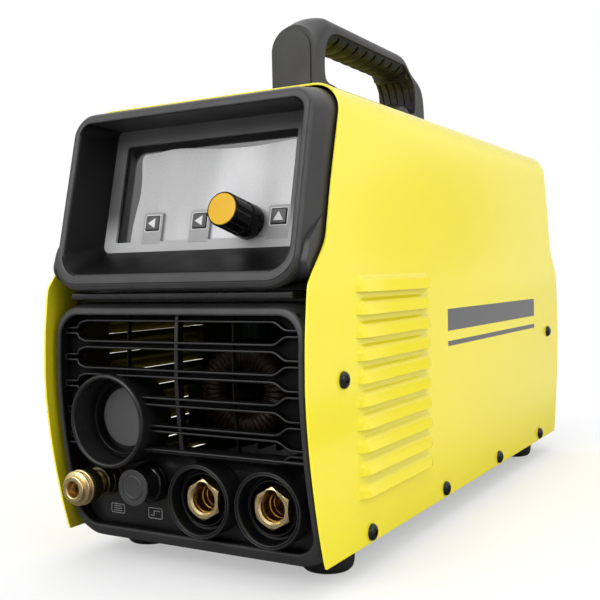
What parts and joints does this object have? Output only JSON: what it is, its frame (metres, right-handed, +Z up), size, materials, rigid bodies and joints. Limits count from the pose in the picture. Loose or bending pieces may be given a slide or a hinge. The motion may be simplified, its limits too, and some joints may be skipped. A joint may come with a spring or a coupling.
{
  "type": "tig welding machine",
  "caption": "Portable TIG welding inverter: folded sheet cover with louvres, hooded front display with knob, grille, gas and cable sockets, top carry handle and rubber feet.",
  "frame": {"origin": "ground plane under the middle of the machine: centre of the box in X and Y, underside of the feet in Z", "axes": "+Z up, -Y towards the front panel, +X to the right of a user facing the front panel"},
  "size_m": [0.163, 0.436, 0.299],
  "materials": {
    "cover": "fine orange-peel powder coat, satin gloss",
    "plastic": "fine spark-eroded texture, satin",
    "gloss_black": "polished black",
    "fascia": "printed grey film, satin",
    "lens": "smoked glossy window with silver film",
    "knob_cap": "satin yellow-orange",
    "brass": "turned brass",
    "steel": "zinc-plated, satin",
    "black_steel": "blackened steel",
    "rubber": "matte moulded rubber",
    "pcb": "solder mask",
    "aluminium": "extruded",
    "ferrite": "sintered, matt",
    "copper": "enamelled copper"
  },
  "bodies": {
    "chassis": {"base_tray": "steel", "cable_gland": "plastic", "control_board": "pcb", "control_socket": "black_steel", "cover_screw_left_1": "black_steel", "cover_screw_left_2": "black_steel", "cover_screw_left_3": "black_steel", "cover_screw_left_4": "black_steel", "cover_screw_left_front": "black_steel", "cover_screw_left_rear": "black_steel", "cover_screw_right_1": "black_steel", "cover_screw_right_2": "black_steel", "cover_screw_right_3": "black_steel", "cover_screw_right_4": "black_steel", "cover_screw_right_front": "black_steel", "cover_screw_right_rear": "black_steel", "cover_shell": "cover", "display_fascia": "fascia", "display_hood": "plastic", "display_lens": "lens", "encoder_housing": "steel", "fan_frame": "plastic", "foot_front_left": "rubber", "foot_front_right": "rubber", "foot_rear_left": "rubber", "foot_rear_right": "rubber", "front_panel": "plastic", "gas_inlet": "brass", "gas_outlet_body": "brass", "gas_outlet_nut": "brass", "gas_valve_body": "steel", "handle": "plastic", "handle_screw_front": "steel", "handle_screw_rear": "steel", "heatsink": "aluminium", "mains_cable": "rubber", "mains_switch_body": "plastic", "output_choke": "copper", "power_board": "pcb", "rear_panel": "plastic", "transformer_core": "ferrite", "transformer_winding": "copper", "weld_socket_left_collar": "plastic", "weld_socket_left_insert": "brass", "weld_socket_left_nut": "plastic", "weld_socket_right_collar": "plastic", "weld_socket_right_insert": "brass", "weld_socket_right_nut": "plastic", "well_blank": "gloss_black"},
    "knob": {"knob_body": "gloss_black", "knob_cap": "knob_cap", "encoder_shaft": "steel"},
    "button_left": {"button_left": "plastic"},
    "button_middle": {"button_middle": "plastic"},
    "button_right": {"button_right": "plastic"},
    "gas_sleeve": {"gas_outlet_sleeve": "brass"},
    "control_cap": {"control_socket_cap": "gloss_black"},
    "mains_rocker": {"mains_switch_rocker": "knob_cap"},
    "fan_rotor": {"fan_rotor": "gloss_black"},
    "valve_plunger": {"gas_valve_plunger": "steel"}
  },
  "joints": [
    {"name": "knob_turn", "type": "hinge", "parent": "chassis", "child": "knob", "pos_m": [0.0308, -0.20156, 0.17568], "axis": [0, -0.9735, 0.2288], "continuous": true},
    {"name": "button_left_press", "type": "slide", "parent": "chassis", "child": "button_left", "axis": [0, 0.9735, -0.2288], "range_m": [0, 0.0008]},
    {"name": "button_middle_press", "type": "slide", "parent": "chassis", "child": "button_middle", "axis": [0, 0.9735, -0.2288], "range_m": [0, 0.0008]},
    {"name": "button_right_press", "type": "slide", "parent": "chassis", "child": "button_right", "axis": [0, 0.9735, -0.2288], "range_m": [0, 0.0008]},
    {"name": "gas_sleeve_slide", "type": "slide", "parent": "chassis", "child": "gas_sleeve", "axis": [0, 1, 0], "range_m": [0, 0.003]},
    {"name": "control_cap_pull", "type": "slide", "parent": "chassis", "child": "control_cap", "axis": [0, -1, 0], "range_m": [0, 0.012]},
    {"name": "mains_rocker_tilt", "type": "hinge", "parent": "chassis", "child": "mains_rocker", "pos_m": [0.038, 0.17379, 0.19828], "axis": [1, 0, 0], "range_deg": [0, 16]},
    {"name": "fan_spin", "type": "hinge", "parent": "chassis", "child": "fan_rotor", "pos_m": [0, 0.18, 0.086], "axis": [0, 1, 0], "continuous": true},
    {"name": "valve_plunger_lift", "type": "slide", "parent": "chassis", "child": "valve_plunger", "axis": [0, -0.2416, 0.9704], "range_m": [0, 0.0014]}
  ]
}
